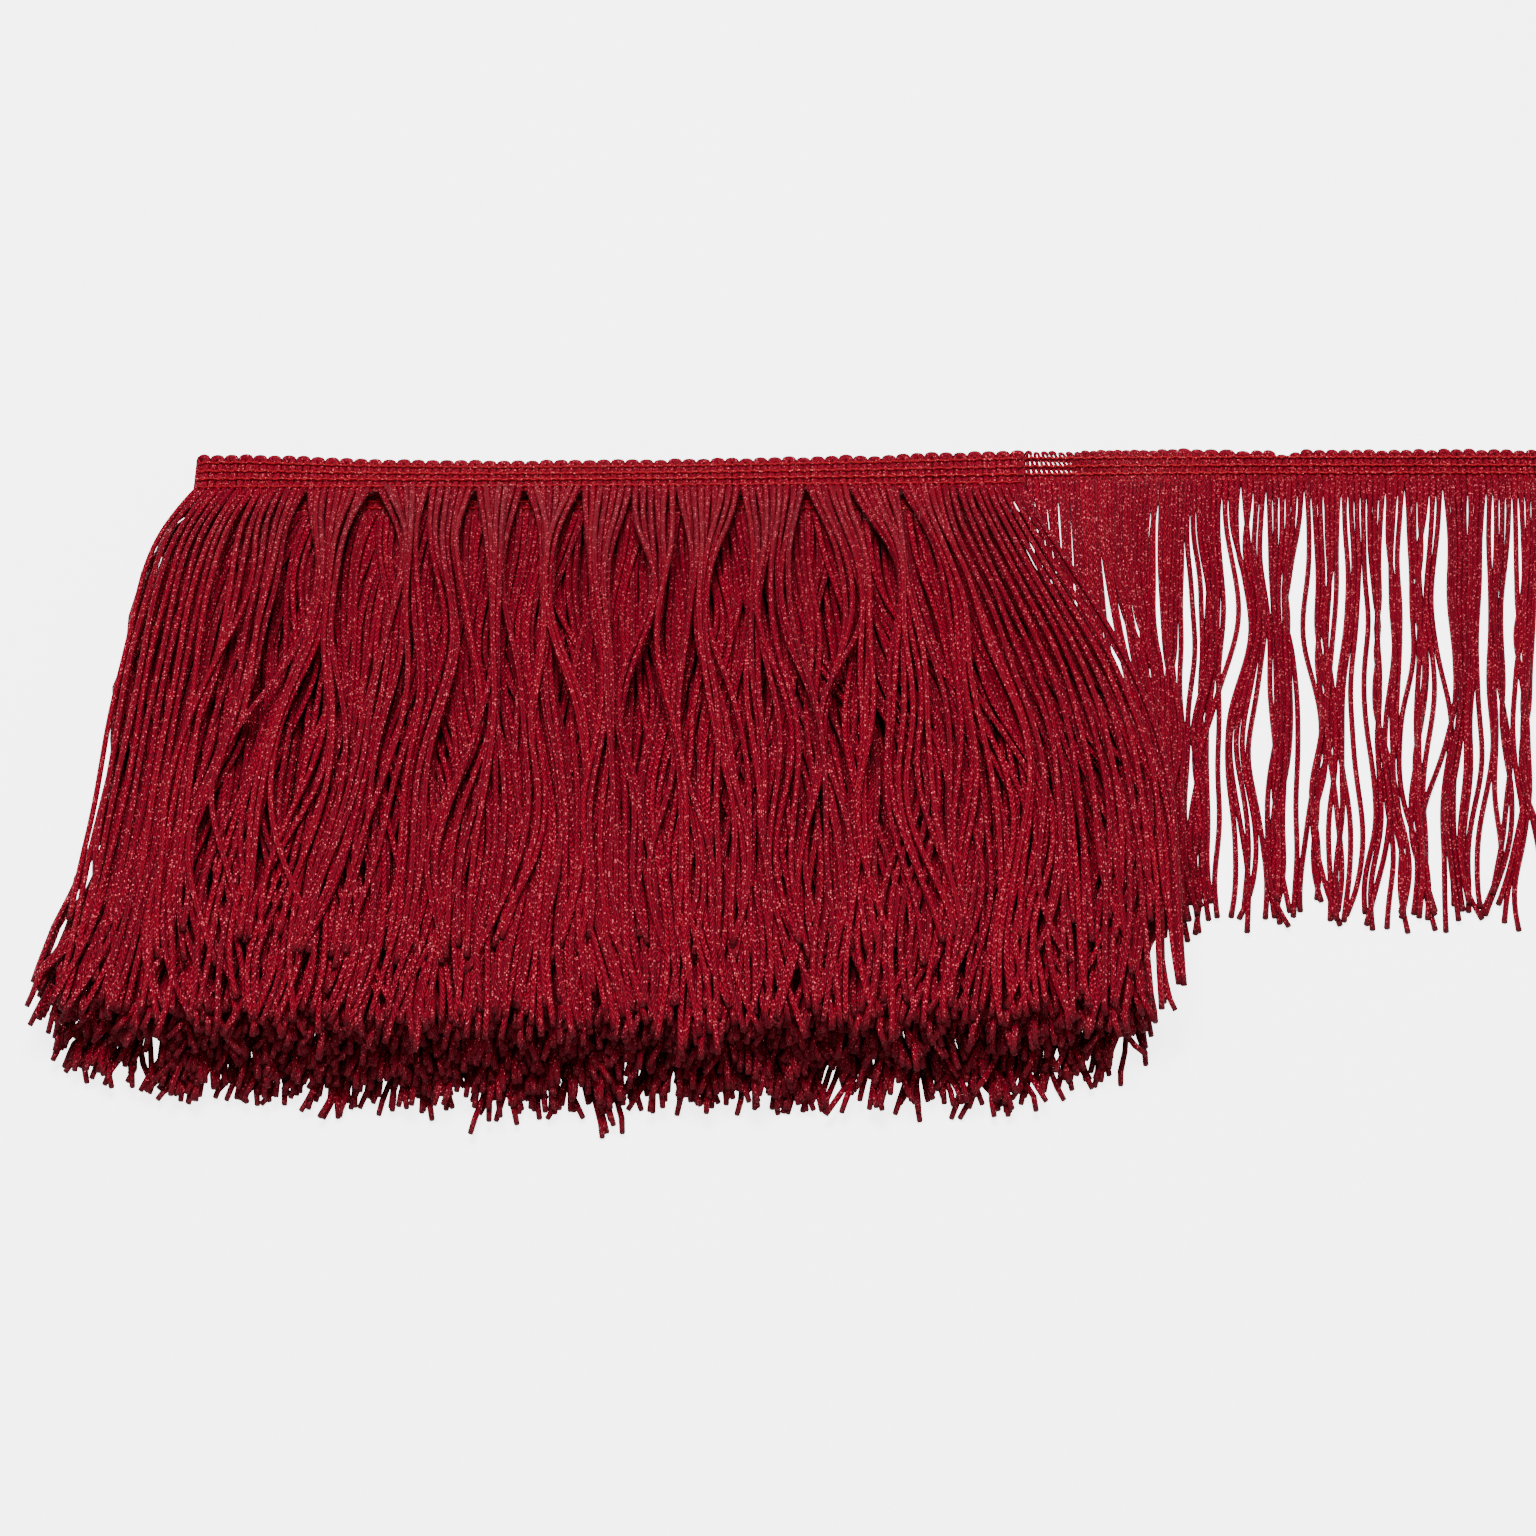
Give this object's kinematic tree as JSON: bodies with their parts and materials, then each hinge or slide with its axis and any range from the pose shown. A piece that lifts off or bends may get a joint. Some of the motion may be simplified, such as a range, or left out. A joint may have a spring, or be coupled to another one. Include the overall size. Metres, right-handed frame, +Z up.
{
  "type": "roll of fringe trim",
  "caption": "Flat-wound roll of knitted chainette fringe trim, its last lap on top and its loose end run out along the table.",
  "frame": {"origin": "bottom centre of the whole trim's bounding box, on the surface it lies on", "axes": "+X along the heading towards the loose end, +Y from the fringe's cut ends to the heading, +Z up"},
  "size_m": [0.3786, 0.2034, 0.0388],
  "materials": {
    "heading": "knitted glitter yarn, bright chain rows",
    "fringe": "chainette cord with fine glitter"
  },
  "bodies": {
    "root": {"wound_heading": "heading", "last_lap_heading": "heading", "loose_heading": "heading", "roll_fringe_1": "fringe", "roll_fringe_2": "fringe", "roll_fringe_3": "fringe", "roll_fringe_4": "fringe", "last_lap_fringe": "fringe", "ramp_fringe": "fringe", "loose_fringe": "fringe"}
  },
  "joints": []
}
